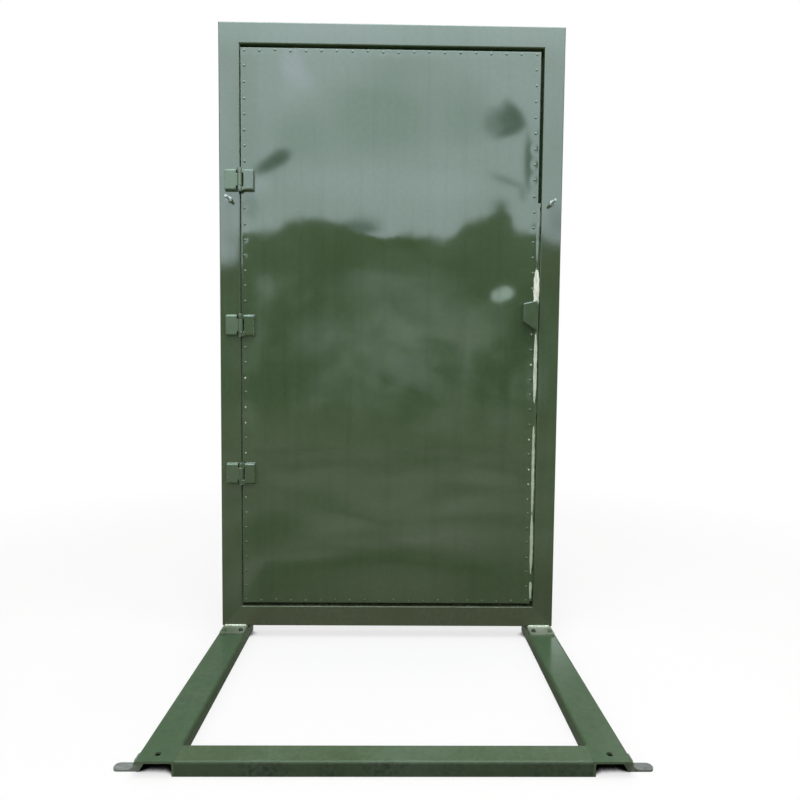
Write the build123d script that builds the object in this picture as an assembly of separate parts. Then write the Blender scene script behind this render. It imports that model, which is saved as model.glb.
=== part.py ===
from build123d import *
import os

# Free-standing steel door: a hinged leaf in a welded tube frame, bolted to a U-shaped floor stand.
# Millimetres, +Z up. Shapes are drawn with the front face of the door on Y = 0 and the viewer at -Y,
# and the finished part is moved along Y so that its origin is the centre of its footprint.

# Door frame, rectangular tube mitred at the corners
FRAME_WIDTH = 1120.0
FRAME_HEIGHT = 1980.0
FRAME_FACE = 68.0
FRAME_DEPTH = 60.0
FRAME_WALL = 3.0
FRAME_EDGE_RADIUS = 4.0

# Flat bars welded inside the frame, which the leaf closes in front of
STOP_REACH = 25.0
STOP_THICKNESS = 5.0
STOP_CLEARANCE = 6.0

# Leaf: front sheet on a frame of square tube
HINGE_GAP = 5.0
LATCH_GAP = 10.0
TOP_GAP = 12.0
BOTTOM_GAP = 12.0
SKIN_THICKNESS = 2.0
LEAF_TUBE = 40.0
LEAF_TUBE_WALL = 2.5
LEAF_TUBE_RADIUS = 4.0

# Hinges: a block on the jamb and one on the leaf, joined by knuckles on a pin
HINGE_TOP_DROP = 421.0
HINGE_MIDDLE_RISE = 931.0
HINGE_BOTTOM_RISE = 441.0
HINGE_HEIGHT = 68.0
HINGE_THICKNESS = 12.0
HINGE_EDGE_RADIUS = 6.0
JAMB_BLOCK_WIDTH = 36.0
LEAF_BLOCK_WIDTH = 32.0
KNUCKLE_RADIUS = 8.0
KNUCKLE_PROUD = 9.0
KNUCKLE_SLOT = 4.0
KNUCKLE_GAP = 1.0
LEAF_KNUCKLE_HEIGHT = 13.0
HINGE_WEB = 8.0
PIN_RADIUS = 5.0
PIN_CLEARANCE = 0.05
PIN_CAP_RADIUS = 7.5
PIN_CAP_HEIGHT = 3.0
PIN_END_GAP = 0.5
AXIS_OFFSET = 2.0

# Pull guard bent from sheet, open towards the closing edge
PULL_RISE = 981.0
PULL_WIDTH = 46.0
PULL_EDGE_SETBACK = 2.0
PULL_NARROW_HEIGHT = 59.0
PULL_WIDE_TOP = 10.0
PULL_WIDE_BOTTOM = 31.0
PULL_PROUD = 30.0
PULL_SHEET = 4.0
PULL_BEND = 4.0

# Studs that stand out of the jambs for a brace
BRACE_BOLT_RISE = 1418.0
BRACE_BOLT_RADIUS = 5.0
BRACE_BOLT_PROUD = 44.0
BRACE_TIP_CHAMFER = 1.0
BRACE_HEX = 17.0
BRACE_NUT_HEIGHT = 10.0

# Floor stand: two channel arms, a channel beam between their front ends, and an ear at each front corner
STAND_REACH = 660.0
ARM_WIDTH = 90.0
BEAM_WIDTH = 60.0
CHANNEL_HEIGHT = 35.0
CHANNEL_WALL = 5.0
CHANNEL_BEND = 7.0
ANCHOR_HOLE_RADIUS = 7.0
ANCHOR_SETBACK = 26.0
LEG_NOTCH = 16.0
EAR_LENGTH = 56.0
EAR_WIDTH = 24.0
EAR_SETBACK = 28.0
EAR_THICKNESS = 5.0
EAR_BEND = 17.0
EAR_END_RADIUS = 11.5
EAR_TOP_MARGIN = 8.0

# Foot plates that carry the jambs and are bolted to the arms
FOOT_WIDTH = 80.0
FOOT_THICKNESS = 6.0
FOOT_REACH = 55.0
FOOT_CORNER_RADIUS = 8.0
FOOT_HOLE_RADIUS = 5.5
FOOT_HOLE_SPACING = 54.0
FOOT_HOLE_SETBACK = 18.0

# Levels and planes that follow from the sizes above
FRAME_BASE = CHANNEL_HEIGHT + FOOT_THICKNESS
FRAME_TOP = FRAME_BASE + FRAME_HEIGHT
OPENING_HALF = FRAME_WIDTH / 2 - FRAME_FACE
LEAF_LEFT = -OPENING_HALF + HINGE_GAP
LEAF_RIGHT = OPENING_HALF - LATCH_GAP
LEAF_BOTTOM = FRAME_BASE + FRAME_FACE + BOTTOM_GAP
LEAF_TOP = FRAME_TOP - FRAME_FACE - TOP_GAP
LEAF_BACK = SKIN_THICKNESS + LEAF_TUBE
STOP_FRONT = LEAF_BACK + STOP_CLEARANCE
AXIS_X = -OPENING_HALF + AXIS_OFFSET
AXIS_Y = -KNUCKLE_PROUD
HINGE_LEVELS = {
    "upper": LEAF_TOP - HINGE_TOP_DROP,
    "middle": LEAF_BOTTOM + HINGE_MIDDLE_RISE,
    "lower": LEAF_BOTTOM + HINGE_BOTTOM_RISE,
}
ARM_CENTRE = (FRAME_WIDTH - ARM_WIDTH) / 2
ANCHOR_Y = ANCHOR_SETBACK - STAND_REACH
EAR_Y = EAR_SETBACK - STAND_REACH
ORIGIN_SHIFT = (STAND_REACH - FRAME_DEPTH) / 2
SIDES = {"left": -1, "right": 1}


def block(x_span, y_span, z_span):
    """Rectangular solid between two corners."""
    sizes = [high - low for low, high in (x_span, y_span, z_span)]
    low_corner = (x_span[0], y_span[0], z_span[0])
    return Pos(*low_corner) * Box(*sizes, align=(Align.MIN, Align.MIN, Align.MIN))


def tube_section(width, height, wall, radius):
    """Hollow rectangle with rounded corners, as rolled tube has."""
    outer = RectangleRounded(width, height, radius)
    inner = Rectangle(width - 2 * wall, height - 2 * wall)
    return outer - inner


def mitred_rail(is_head):
    """Head or sill tube, cut at 45 degrees where it meets the jambs."""
    outer_z = FRAME_TOP if is_head else FRAME_BASE
    inner_z = outer_z - FRAME_FACE if is_head else outer_z + FRAME_FACE
    section = tube_section(FRAME_DEPTH, FRAME_FACE, FRAME_WALL, FRAME_EDGE_RADIUS)
    middle = (FRAME_DEPTH / 2, (outer_z + inner_z) / 2)
    start = Plane((-FRAME_WIDTH / 2, *middle), x_dir=(0, 1, 0), z_dir=(1, 0, 0))
    tube = extrude(start * section, FRAME_WIDTH)
    outline = Polyline(
        (-FRAME_WIDTH / 2, outer_z),
        (FRAME_WIDTH / 2, outer_z),
        (OPENING_HALF, inner_z),
        (-OPENING_HALF, inner_z),
        close=True,
    )
    return tube & mitre_cutter(outline)


def mitred_jamb(side):
    """Upright tube, cut at 45 degrees where it meets the head and the sill."""
    outer_x = side * FRAME_WIDTH / 2
    inner_x = side * OPENING_HALF
    section = tube_section(FRAME_FACE, FRAME_DEPTH, FRAME_WALL, FRAME_EDGE_RADIUS)
    start = Plane(((outer_x + inner_x) / 2, FRAME_DEPTH / 2, FRAME_BASE))
    tube = extrude(start * section, FRAME_HEIGHT)
    outline = Polyline(
        (outer_x, FRAME_BASE),
        (outer_x, FRAME_TOP),
        (inner_x, FRAME_TOP - FRAME_FACE),
        (inner_x, FRAME_BASE + FRAME_FACE),
        close=True,
    )
    return tube & mitre_cutter(outline)


def mitre_cutter(outline):
    """Prism through the frame's depth over an outline drawn in X and Z."""
    face = Plane.XZ * make_face(outline)
    return extrude(face, FRAME_DEPTH, dir=(0, 1, 0))


def stop_bars():
    """Flat bars round the inside of the frame, behind the leaf."""
    y_span = (STOP_FRONT, STOP_FRONT + STOP_THICKNESS)
    low, high = FRAME_BASE + FRAME_FACE, FRAME_TOP - FRAME_FACE
    across = (-OPENING_HALF, OPENING_HALF)
    between = (low + STOP_REACH, high - STOP_REACH)
    return {
        "stop_head": block(across, y_span, (high - STOP_REACH, high)),
        "stop_sill": block(across, y_span, (low, low + STOP_REACH)),
        "stop_hinge_side": block((-OPENING_HALF, STOP_REACH - OPENING_HALF), y_span, between),
        "stop_latch_side": block((OPENING_HALF - STOP_REACH, OPENING_HALF), y_span, between),
    }


def leaf_stile(x_low):
    """Upright tube of the leaf, the full height of its sheet."""
    section = tube_section(LEAF_TUBE, LEAF_TUBE, LEAF_TUBE_WALL, LEAF_TUBE_RADIUS)
    start = Plane((x_low + LEAF_TUBE / 2, SKIN_THICKNESS + LEAF_TUBE / 2, LEAF_BOTTOM))
    return extrude(start * section, LEAF_TOP - LEAF_BOTTOM)


def leaf_rail(z_centre):
    """Cross tube of the leaf, between the stiles."""
    section = tube_section(LEAF_TUBE, LEAF_TUBE, LEAF_TUBE_WALL, LEAF_TUBE_RADIUS)
    start_x, end_x = LEAF_LEFT + LEAF_TUBE, LEAF_RIGHT - LEAF_TUBE
    centre = (start_x, SKIN_THICKNESS + LEAF_TUBE / 2, z_centre)
    start = Plane(centre, x_dir=(0, 1, 0), z_dir=(1, 0, 0))
    return extrude(start * section, end_x - start_x)


def hinge_block(x_low, x_high, z_centre):
    """Thick weld-on block with its upper and lower front edges rounded over."""
    z_span = (z_centre - HINGE_HEIGHT / 2, z_centre + HINGE_HEIGHT / 2)
    solid = block((x_low, x_high), (-HINGE_THICKNESS, 0), z_span)
    front_edges = solid.edges().filter_by(Axis.X).group_by(Axis.Y)[0]
    return fillet(front_edges, HINGE_EDGE_RADIUS)


def knuckle(z_span, web_end):
    """Round barrel on the hinge axis, with the web that ties it to its block."""
    height = z_span[1] - z_span[0]
    base = Pos(AXIS_X, AXIS_Y, z_span[0])
    barrel = base * Cylinder(KNUCKLE_RADIUS, height, align=(Align.CENTER, Align.CENTER, Align.MIN))
    web_x = sorted((AXIS_X, web_end))
    web = block(web_x, (-HINGE_THICKNESS, HINGE_WEB - HINGE_THICKNESS), z_span)
    return barrel + web


def pin_bore(z_centre):
    """Clearance hole for the pin through every knuckle of a hinge."""
    return Pos(AXIS_X, AXIS_Y, z_centre) * Cylinder(PIN_RADIUS + PIN_CLEARANCE, 2 * HINGE_HEIGHT)


def jamb_hinge(z_centre):
    """Block on the jamb, with the long knuckle in the middle."""
    inner = AXIS_X - KNUCKLE_RADIUS - KNUCKLE_SLOT
    half = HINGE_HEIGHT / 2 - LEAF_KNUCKLE_HEIGHT - KNUCKLE_GAP
    solid = hinge_block(inner - JAMB_BLOCK_WIDTH, inner, z_centre)
    solid += knuckle((z_centre - half, z_centre + half), inner)
    return solid - pin_bore(z_centre)


def leaf_hinge(z_centre):
    """Block on the leaf, with a short knuckle at each end."""
    inner = AXIS_X + KNUCKLE_RADIUS + KNUCKLE_SLOT
    top, bottom = z_centre + HINGE_HEIGHT / 2, z_centre - HINGE_HEIGHT / 2
    solid = hinge_block(inner, inner + LEAF_BLOCK_WIDTH, z_centre)
    solid += knuckle((top - LEAF_KNUCKLE_HEIGHT, top), inner)
    solid += knuckle((bottom, bottom + LEAF_KNUCKLE_HEIGHT), inner)
    return solid - pin_bore(z_centre)


def hinge_pin(z_centre):
    """Pin with a riveted cap at each end, turned as one piece."""
    cap_start = HINGE_HEIGHT / 2 + PIN_END_GAP
    end = cap_start + PIN_CAP_HEIGHT
    half_profile = Polyline(
        (0, -end),
        (PIN_CAP_RADIUS, -end),
        (PIN_CAP_RADIUS, -cap_start),
        (PIN_RADIUS, -cap_start),
        (PIN_RADIUS, cap_start),
        (PIN_CAP_RADIUS, cap_start),
        (PIN_CAP_RADIUS, end),
        (0, end),
        close=True,
    )
    turned = revolve(Plane.XZ * make_face(half_profile), Axis.Z)
    return Pos(AXIS_X, AXIS_Y, z_centre) * turned


def pull_outline(inset, open_side):
    """Tapered outline of the pull guard in X and Z, moved in by the sheet thickness for its inside."""
    right = LEAF_RIGHT - PULL_EDGE_SETBACK
    left = right - PULL_WIDTH
    middle = LEAF_BOTTOM + PULL_RISE
    top_slope = PULL_WIDE_TOP / PULL_WIDTH
    bottom_slope = PULL_WIDE_BOTTOM / PULL_WIDTH
    top_inset = inset * (1 + top_slope**2) ** 0.5
    bottom_inset = inset * (1 + bottom_slope**2) ** 0.5
    x_low, x_high = left + inset, right + open_side
    top, bottom = middle + PULL_NARROW_HEIGHT / 2, middle - PULL_NARROW_HEIGHT / 2
    return Polyline(
        (x_low, bottom - bottom_slope * (x_low - left) + bottom_inset),
        (x_high, bottom - bottom_slope * (x_high - left) + bottom_inset),
        (x_high, top + top_slope * (x_high - left) - top_inset),
        (x_low, top + top_slope * (x_low - left) - top_inset),
        close=True,
    )


def pull_guard():
    """Sheet box that flares towards the closing edge, where it is open for the fingers."""
    outer = extrude(Plane.XZ * make_face(pull_outline(0, 0)), PULL_PROUD, dir=(0, -1, 0))
    bends = outer.edges().group_by(Axis.Y)[0].sort_by(Axis.X)[:-1]
    bends += outer.edges().filter_by(Axis.Y).group_by(Axis.X)[0]
    outer = fillet(bends, PULL_BEND)
    hollow_face = Plane.XZ * make_face(pull_outline(PULL_SHEET, PULL_WIDTH))
    hollow = extrude(hollow_face, PULL_PROUD - PULL_SHEET, dir=(0, -1, 0))
    return outer - hollow


def brace_bolt(side):
    """Stud standing out of the jamb, with a hex nut against the face and a chamfered tip."""
    centre = side * (FRAME_WIDTH - FRAME_FACE) / 2
    face = Plane((centre, 0, FRAME_BASE + BRACE_BOLT_RISE), x_dir=(1, 0, 0), z_dir=(0, -1, 0))
    hexagon = RegularPolygon(BRACE_HEX / 2, 6, major_radius=False)
    stud = extrude(face * Circle(BRACE_BOLT_RADIUS), BRACE_BOLT_PROUD)
    stud = chamfer(stud.edges().group_by(Axis.Y)[0], BRACE_TIP_CHAMFER)
    return stud + extrude(face * hexagon, BRACE_NUT_HEIGHT)


def channel_section(width):
    """Bent channel, legs down, standing on X with its back at the channel height."""
    outer = Pos(0, CHANNEL_HEIGHT / 2) * Rectangle(width, CHANNEL_HEIGHT)
    outer = fillet(outer.vertices().group_by(Axis.Y)[-1], CHANNEL_BEND)
    inner_height = CHANNEL_HEIGHT - CHANNEL_WALL
    inner = Pos(0, inner_height / 2) * Rectangle(width - 2 * CHANNEL_WALL, inner_height)
    inner = fillet(inner.vertices().group_by(Axis.Y)[-1], CHANNEL_BEND - CHANNEL_WALL)
    return outer - inner


def upright_hole(x, y, radius):
    """Cutter for a hole down through the stand and a foot plate."""
    return Pos(x, y, FRAME_BASE / 2) * Cylinder(radius, 2 * FRAME_BASE)


def foot_holes(side):
    """The bolt holes that the foot plate and the arm share."""
    y = FOOT_HOLE_SETBACK - FOOT_REACH
    offsets = (-FOOT_HOLE_SPACING / 2, FOOT_HOLE_SPACING / 2)
    return [upright_hole(side * ARM_CENTRE + step, y, FOOT_HOLE_RADIUS) for step in offsets]


def beam_seat(side):
    """Square corner that fills an arm's inner bend, so that the welded beam lies flush with it."""
    inner = FRAME_WIDTH / 2 - ARM_WIDTH
    x_span = sorted((side * inner, side * (inner + CHANNEL_BEND)))
    y_span = (-STAND_REACH, BEAM_WIDTH - STAND_REACH)
    return block(x_span, y_span, (CHANNEL_HEIGHT - CHANNEL_BEND, CHANNEL_HEIGHT))


def leg_notch(side):
    """Cutter for the sloping front end of an arm's outer leg, in front of the ear."""
    outline = Polyline(
        (-STAND_REACH, 0),
        (LEG_NOTCH - STAND_REACH, 0),
        (-STAND_REACH, CHANNEL_HEIGHT - CHANNEL_BEND),
        close=True,
    )
    face = Plane.YZ.offset(side * FRAME_WIDTH / 2) * make_face(outline)
    return extrude(face, CHANNEL_BEND, dir=(-side, 0, 0))


def stand_arm(side):
    """Arm along Y from the back of the frame to the front of the stand."""
    start = Plane((side * ARM_CENTRE, FRAME_DEPTH, 0), x_dir=(1, 0, 0), z_dir=(0, -1, 0))
    solid = extrude(start * channel_section(ARM_WIDTH), FRAME_DEPTH + STAND_REACH)
    solid += beam_seat(side)
    solid -= leg_notch(side)
    solid -= upright_hole(side * ARM_CENTRE, ANCHOR_Y, ANCHOR_HOLE_RADIUS)
    return solid - foot_holes(side)


def stand_beam():
    """Cross beam between the inner legs of the arms."""
    half = FRAME_WIDTH / 2 - ARM_WIDTH
    centre_y = BEAM_WIDTH / 2 - STAND_REACH
    start = Plane((-half, centre_y, 0), x_dir=(0, 1, 0), z_dir=(1, 0, 0))
    return extrude(start * channel_section(BEAM_WIDTH), 2 * half)


def stand_ear(side):
    """Bent strip on the outside of a front corner, lying on the floor with a rounded end."""
    root = FRAME_WIDTH / 2
    tip = root + EAR_LENGTH
    top = CHANNEL_HEIGHT - EAR_TOP_MARGIN
    outline = Polyline(
        (root, 0),
        (tip, 0),
        (tip, EAR_THICKNESS),
        (root + EAR_THICKNESS, EAR_THICKNESS),
        (root + EAR_THICKNESS, top),
        (root, top),
        close=True,
    )
    strip = make_face(outline)
    inner_bend = strip.vertices().sort_by_distance((root + EAR_THICKNESS, EAR_THICKNESS))[0]
    strip = fillet(inner_bend, EAR_BEND)
    solid = extrude(Plane.XZ * strip, EAR_WIDTH / 2, both=True)
    end_corners = solid.edges().filter_by(Axis.Z).group_by(Axis.X)[-1]
    solid = Pos(0, EAR_Y, 0) * fillet(end_corners, EAR_END_RADIUS)
    return solid if side > 0 else mirror(solid, Plane.YZ)


def foot_plate(side):
    """Plate under a jamb, reaching forward to its two bolts."""
    x_span = (side * ARM_CENTRE - FOOT_WIDTH / 2, side * ARM_CENTRE + FOOT_WIDTH / 2)
    plate = block(x_span, (-FOOT_REACH, FRAME_DEPTH), (CHANNEL_HEIGHT, FRAME_BASE))
    front_corners = plate.edges().filter_by(Axis.Z).group_by(Axis.Y)[0]
    plate = fillet(front_corners, FOOT_CORNER_RADIUS)
    return plate - foot_holes(side)


def build_door():
    """Every piece of the door by name."""
    leaf_y = (0, SKIN_THICKNESS)
    pieces = {
        "head_rail": mitred_rail(True),
        "sill_rail": mitred_rail(False),
        "hinge_jamb": mitred_jamb(-1),
        "latch_jamb": mitred_jamb(1),
        "leaf_skin": block((LEAF_LEFT, LEAF_RIGHT), leaf_y, (LEAF_BOTTOM, LEAF_TOP)),
        "leaf_hinge_stile": leaf_stile(LEAF_LEFT),
        "leaf_latch_stile": leaf_stile(LEAF_RIGHT - LEAF_TUBE),
        "leaf_top_rail": leaf_rail(LEAF_TOP - LEAF_TUBE / 2),
        "leaf_bottom_rail": leaf_rail(LEAF_BOTTOM + LEAF_TUBE / 2),
        "pull_guard": pull_guard(),
        "stand_beam": stand_beam(),
    }
    pieces.update(stop_bars())
    for level, z_centre in HINGE_LEVELS.items():
        pieces[f"leaf_{level}_rail"] = leaf_rail(z_centre)
        pieces[f"jamb_hinge_{level}"] = jamb_hinge(z_centre)
        pieces[f"leaf_hinge_{level}"] = leaf_hinge(z_centre)
        pieces[f"hinge_pin_{level}"] = hinge_pin(z_centre)
    for name, side in SIDES.items():
        pieces[f"brace_bolt_{name}"] = brace_bolt(side)
        pieces[f"stand_arm_{name}"] = stand_arm(side)
        pieces[f"stand_ear_{name}"] = stand_ear(side)
        pieces[f"foot_plate_{name}"] = foot_plate(side)
    return pieces


os.makedirs("parts", exist_ok=True)
for node, shape in build_door().items():
    export_step(Pos(0, ORIGIN_SHIFT, 0) * shape, f"parts/{node}.step")
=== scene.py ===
# %% [markdown]
# # A painted steel door on a floor stand
# A hinged leaf of sheet on square tube hangs in a welded tube frame, and the frame is bolted to a U-shaped
# stand that lies on the floor. The solids of every piece come from the imported frame, in metres, with the
# viewer at -Y. This lesson leaves those solids where they are and dresses them: paint, sheet, rivets,
# welds, bolts and wear. The box of the bare solids is kept, and the lamps aim at its middle.

import math

import bmesh
import bpy
from mathutils import Matrix, Vector


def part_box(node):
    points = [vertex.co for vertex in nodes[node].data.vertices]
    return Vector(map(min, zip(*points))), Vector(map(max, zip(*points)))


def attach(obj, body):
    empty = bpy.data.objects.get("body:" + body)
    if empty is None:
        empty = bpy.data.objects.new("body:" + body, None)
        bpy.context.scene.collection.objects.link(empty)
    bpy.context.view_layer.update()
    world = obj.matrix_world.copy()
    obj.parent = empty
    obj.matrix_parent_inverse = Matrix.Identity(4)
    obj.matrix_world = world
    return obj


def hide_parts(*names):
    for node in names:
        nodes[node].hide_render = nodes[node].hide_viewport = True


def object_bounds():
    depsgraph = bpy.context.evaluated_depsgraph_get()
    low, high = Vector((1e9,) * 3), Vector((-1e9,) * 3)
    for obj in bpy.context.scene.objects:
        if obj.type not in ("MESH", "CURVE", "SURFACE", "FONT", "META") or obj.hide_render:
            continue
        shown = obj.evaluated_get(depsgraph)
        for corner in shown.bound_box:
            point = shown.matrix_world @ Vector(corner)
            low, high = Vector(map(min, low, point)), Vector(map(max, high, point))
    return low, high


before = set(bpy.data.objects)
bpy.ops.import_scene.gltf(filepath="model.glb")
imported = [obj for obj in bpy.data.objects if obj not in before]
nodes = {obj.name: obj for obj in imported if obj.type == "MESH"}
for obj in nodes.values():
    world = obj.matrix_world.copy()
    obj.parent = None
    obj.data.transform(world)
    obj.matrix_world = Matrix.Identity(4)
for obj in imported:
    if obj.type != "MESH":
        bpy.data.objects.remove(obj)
cad_low, cad_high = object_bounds()
scene = bpy.context.scene
MM = 0.001
print("solids:", len(nodes), "box", [round(side, 3) for side in cad_high - cad_low])

# %% [markdown]
# ## The camera
# The picture was taken by hand, close to the door and a little below its middle, with the wide lens of a
# telephone. Such a camera is never level: it looks down by three degrees and leans by half a degree.
# Writing the aim as yaw, pitch and roll keeps those three small errors apart, which a Track To constraint
# would not.

# %% Place the camera
CAMERA_PLACE = Vector((0.0115, -1.5832, 0.9105))
CAMERA_YAW = math.radians(0.708)
CAMERA_PITCH = math.radians(3.033)
CAMERA_ROLL = math.radians(-0.53)
SENSOR_MM = 36.0
FOCAL_PIXELS = 566.8
PICTURE_PIXELS = 800

level = math.cos(CAMERA_PITCH)
forward = Vector((math.sin(CAMERA_YAW) * level, math.cos(CAMERA_YAW) * level, -math.sin(CAMERA_PITCH)))
level_right = Vector((math.cos(CAMERA_YAW), -math.sin(CAMERA_YAW), 0))
level_down = forward.cross(level_right)
right = math.cos(CAMERA_ROLL) * level_right + math.sin(CAMERA_ROLL) * level_down
down = math.cos(CAMERA_ROLL) * level_down - math.sin(CAMERA_ROLL) * level_right

camera_data = bpy.data.cameras.new("door_camera")
camera_data.sensor_width = SENSOR_MM
camera_data.lens = SENSOR_MM * FOCAL_PIXELS / PICTURE_PIXELS
camera = bpy.data.objects.new("door_camera", camera_data)
scene.collection.objects.link(camera)
turn = Matrix((right, -down, -forward)).transposed()
camera.matrix_world = Matrix.Translation(CAMERA_PLACE) @ turn.to_4x4()
scene.camera = camera
scene.view_settings.view_transform = "Standard"
print("lens", round(camera_data.lens, 2), "mm")

# %% [markdown]
# ## Small helpers for nodes
# Every material below is a small network. A few helpers make a network read like a recipe: each adds one or
# two nodes, gives their sockets plain values or links, and hands back the output. A group is a network with
# named inputs and outputs of its own, so an effect such as edge wear is built once and used by many
# materials.

# %% Node helpers
def add_node(tree, kind, values, **settings):
    """Adds a shader node, sets its properties, then gives its sockets plain values or links."""
    node = tree.nodes.new("ShaderNode" + kind)
    for name, value in settings.items():
        setattr(node, name, value)
    for socket, value in values.items():
        if isinstance(value, bpy.types.NodeSocket):
            tree.links.new(value, node.inputs[socket])
        else:
            node.inputs[socket].default_value = value
    return node


def maths(tree, operation, first, second=0.0):
    """One Math node."""
    return add_node(tree, "Math", {0: first, 1: second}, operation=operation).outputs[0]


def times(tree, first, second):
    """The product of two values."""
    return maths(tree, "MULTIPLY", first, second)


def mix_colour(tree, factor, first, second):
    """A Mix node for two colours."""
    return add_node(tree, "Mix", {0: factor, 6: first, 7: second}, data_type="RGBA").outputs[2]


def mix_value(tree, factor, first, second):
    """A Mix node for two plain values."""
    return add_node(tree, "Mix", {0: factor, 2: first, 3: second}).outputs[0]


def remap(tree, value, low, high, to_low=0.0, to_high=1.0, shape="SMOOTHSTEP"):
    """A Map Range from low and high to two other values, smooth unless another shape is asked for."""
    values = {"Value": value, "From Min": low, "From Max": high, "To Min": to_low, "To Max": to_high}
    return add_node(tree, "MapRange", values, interpolation_type=shape).outputs[0]


def noise(tree, where, scale, detail):
    """The value of a Noise texture."""
    return add_node(tree, "TexNoise", {"Vector": where, "Scale": scale, "Detail": detail}).outputs[0]


def clouds(tree, where, scale, detail, *limits):
    """Noise remapped between limits, which makes a mask of soft clouds."""
    return remap(tree, noise(tree, where, scale, detail), *limits)


def stretched(tree, where, factors):
    """Coordinates scaled by a factor for each axis, which draws noise out into streaks."""
    return add_node(tree, "Mapping", {"Vector": where, "Scale": factors}).outputs[0]


def length_of(tree, vector):
    """The length of a vector."""
    return add_node(tree, "VectorMath", {0: vector}, operation="LENGTH").outputs["Value"]


def axes(tree, vector):
    """The X, Y and Z of a vector."""
    return add_node(tree, "SeparateXYZ", {0: vector}).outputs


def true_normal(tree):
    """The way that the surface faces."""
    return add_node(tree, "NewGeometry", {}).outputs["Normal"]


def object_place(tree):
    """The place on a piece in metres, which rides along when the piece moves."""
    return add_node(tree, "TexCoord", {}).outputs["Object"]


def rgb(red, green, blue):
    """A linear colour with full alpha."""
    return (red, green, blue, 1.0)


SOCKETS = {"value": "NodeSocketFloat", "colour": "NodeSocketColor", "vector": "NodeSocketVector"}


def open_group(name, inputs, outputs):
    """A new shader group, its input sockets and its output sockets."""
    tree = bpy.data.node_groups.new(name, "ShaderNodeTree")
    for way, sockets in (("INPUT", inputs), ("OUTPUT", outputs)):
        for label, kind in sockets.items():
            tree.interface.new_socket(name=label, in_out=way, socket_type=SOCKETS[kind])
    return tree, tree.nodes.new("NodeGroupInput").outputs, tree.nodes.new("NodeGroupOutput").inputs


def use_group(tree, group, values):
    """Places a group in a material. Its sockets exist only once the node has its tree."""
    return add_node(tree, "Group", values, node_tree=group).outputs


def new_material(name):
    """An empty node material, its tree and its output node."""
    material = bpy.data.materials.new(name)
    material.use_nodes = True
    tree = material.node_tree
    tree.nodes.clear()
    return material, tree, add_node(tree, "OutputMaterial", {})


print("node helpers ready")

# %% [markdown]
# ## The floor and the white room
# A cut-out picture has no room, so the floor and the air behind it are plain white. A floor that only glows
# has no shadow, and a floor that is only lit is grey, so this one is part glow and part lit paint: the glow
# brings it to white, and the lit part keeps the shadow of the stand. Further off the glow takes over, so
# that floor and air meet without a line. Ambient Occlusion finds where the stand covers the floor closely,
# and there the glow goes out and the floor's colour turns dark, a painted shade under the arms and in their
# bolt holes. Light Path asks what kind of ray is looking: the eye and the gloss see white, while the light
# that bounces back to the door stays soft.

# %% Floor and world
FLOOR_HALF = 30.0
GLOW_NEAR = 0.70
GLOW_RADII = (1.3, 3.4)
COVER_DISTANCE = 60 * MM
COVER_SAMPLES = 64
COVER_LIMITS = (0.24, 0.42)
WHITE = rgb(1, 1, 1)
FLOOR_SEEN = rgb(0.90, 0.90, 0.89)
FLOOR_PAINTED_SHADE = rgb(0.02, 0.02, 0.02)
FLOOR_BOUNCE = rgb(0.40, 0.40, 0.39)
ROOM_LIGHT = 0.45


def seen_ray(tree):
    """1 for rays that show a surface to the eye, also in gloss or glass, and 0 for rays that light it."""
    path = add_node(tree, "LightPath", {}).outputs
    shown = maths(tree, "MAXIMUM", path["Is Camera Ray"], path["Is Glossy Ray"])
    return maths(tree, "MAXIMUM", shown, path["Is Transmission Ray"])


def flat_sheet(name, start, side, rise, material):
    """A stage rectangle. Side and rise are its two edges from the start."""
    start, side, rise = Vector(start), Vector(side), Vector(rise)
    mesh = bpy.data.meshes.new(name)
    mesh.from_pydata([start, start + side, start + side + rise, start + rise], [], [(0, 1, 2, 3)])
    mesh.materials.append(material)
    sheet = bpy.data.objects.new(name, mesh)
    scene.collection.objects.link(sheet)
    return sheet


floor_material, tree, output = new_material("white_floor")
seen = seen_ray(tree)
cover = add_node(tree, "AmbientOcclusion", {"Distance": COVER_DISTANCE}, samples=COVER_SAMPLES)
open_floor = remap(tree, cover.outputs["AO"], *COVER_LIMITS)
# Painted shade: where the stand covers the floor closely, its seen colour and its glow turn dark.
seen_colour = mix_colour(tree, open_floor, FLOOR_PAINTED_SHADE, FLOOR_SEEN)
lit = add_node(tree, "BsdfDiffuse", {"Color": mix_colour(tree, seen, FLOOR_BOUNCE, seen_colour)})
glow = add_node(tree, "Emission", {"Color": WHITE, "Strength": open_floor})
glow_share = remap(tree, length_of(tree, object_place(tree)), *GLOW_RADII, GLOW_NEAR, 1.0)
share = times(tree, seen, glow_share)
floor_mix = add_node(tree, "MixShader", {0: share, 1: lit.outputs[0], 2: glow.outputs[0]})
tree.links.new(floor_mix.outputs[0], output.inputs["Surface"])
floor_sides = ((2 * FLOOR_HALF, 0, 0), (0, 2 * FLOOR_HALF, 0))
flat_sheet("floor", (-FLOOR_HALF, -FLOOR_HALF, 0), *floor_sides, floor_material)

world = bpy.data.worlds.new("white_room")
world.use_nodes = True
scene.world = world
tree = world.node_tree
tree.nodes.clear()
room_strength = mix_value(tree, seen_ray(tree), ROOM_LIGHT, 1.0)
room = add_node(tree, "Background", {"Color": WHITE, "Strength": room_strength})
tree.links.new(room.outputs[0], add_node(tree, "OutputWorld", {}).inputs["Surface"])
print("floor", 2 * FLOOR_HALF, "m wide, room light", ROOM_LIGHT)

# %% [markdown]
# ## Soft lamps
# Outdoors a door is lit by the whole sky, so its shadows are soft. Two large area lamps do the same: one
# above, which makes the flat tops of the stand brighter than the upright faces, and one in front and to the
# left. They are hidden from glossy rays, because the gloss gets panels of its own in the next step.

# %% Lamps
DOOR_MIDDLE = (cad_low + cad_high) / 2
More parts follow.
